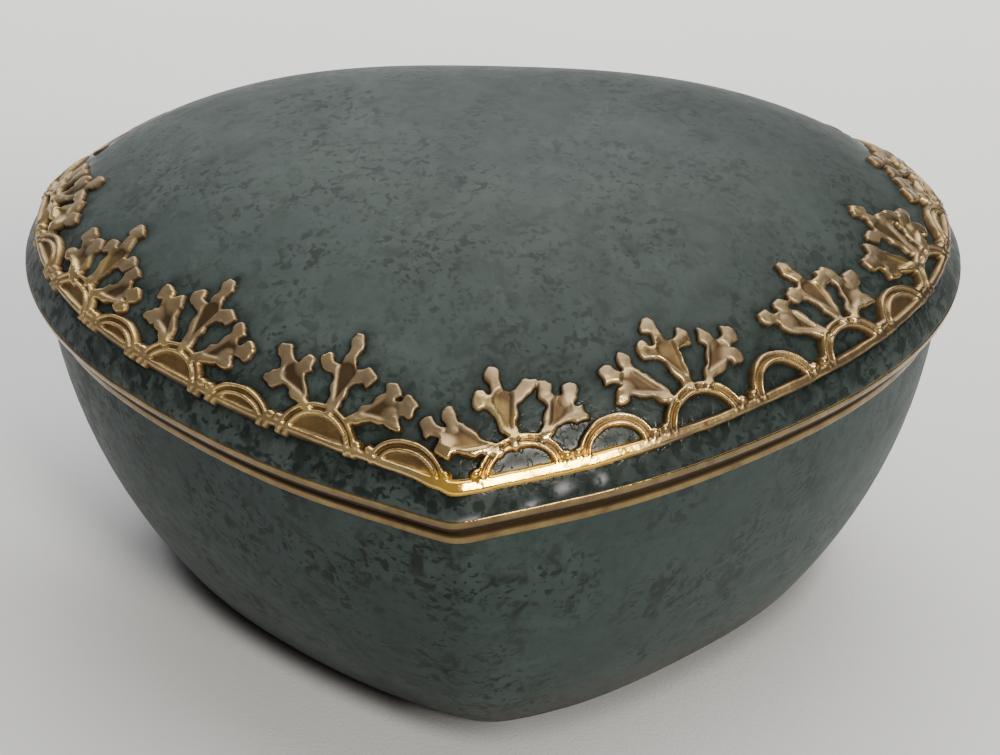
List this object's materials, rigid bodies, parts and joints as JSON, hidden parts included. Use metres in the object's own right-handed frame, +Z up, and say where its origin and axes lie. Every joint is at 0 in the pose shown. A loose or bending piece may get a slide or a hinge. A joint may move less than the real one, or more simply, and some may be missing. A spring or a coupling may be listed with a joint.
{
  "type": "lidded jewellery box",
  "caption": "Heart-shaped ceramic box with a lift-off domed lid, a raised gilt border around the dome, and a bowl that narrows to a flat foot ring.",
  "frame": {"origin": "on the surface the box stands on, in the middle of the bounding box seen from above", "axes": "+Z up, the way the lid lifts; +X to the right when the soft point faces the viewer; -Y towards the point, +Y towards the two lobes"},
  "size_m": [0.12, 0.0918, 0.0676],
  "materials": {
    "base_glaze": "satin mottled dark grey-green glaze",
    "lid_glaze": "satin mottled grey-green glaze with dark flecks",
    "gilding": "fired raised gilding, bright with brown shading in its hollows"
  },
  "bodies": {
    "base": {"base_bowl": "base_glaze", "base_gilt_line": "gilding"},
    "lid": {"lid_shell": "lid_glaze", "lid_gilt_line": "gilding", "border_rail": "gilding", "border_sprig_01": "gilding", "border_sprig_02": "gilding", "border_sprig_03": "gilding", "border_sprig_04": "gilding", "border_sprig_05": "gilding", "border_sprig_06": "gilding", "border_sprig_07": "gilding", "border_sprig_08": "gilding", "border_sprig_09": "gilding", "border_sprig_10": "gilding", "border_sprig_11": "gilding", "border_sprig_12": "gilding", "border_sprig_13": "gilding", "border_sprig_14": "gilding", "border_sprig_15": "gilding", "border_arch_01": "gilding", "border_arch_02": "gilding", "border_arch_03": "gilding", "border_arch_04": "gilding", "border_arch_05": "gilding", "border_arch_06": "gilding", "border_arch_07": "gilding", "border_arch_08": "gilding", "border_arch_09": "gilding", "border_arch_10": "gilding", "border_arch_11": "gilding", "border_arch_12": "gilding", "border_arch_13": "gilding", "border_arch_14": "gilding", "border_arch_15": "gilding"}
  },
  "joints": [
    {"name": "lid_lift", "type": "slide", "parent": "base", "child": "lid", "axis": [0, 0, 1], "range_m": [0, 0.075]}
  ]
}
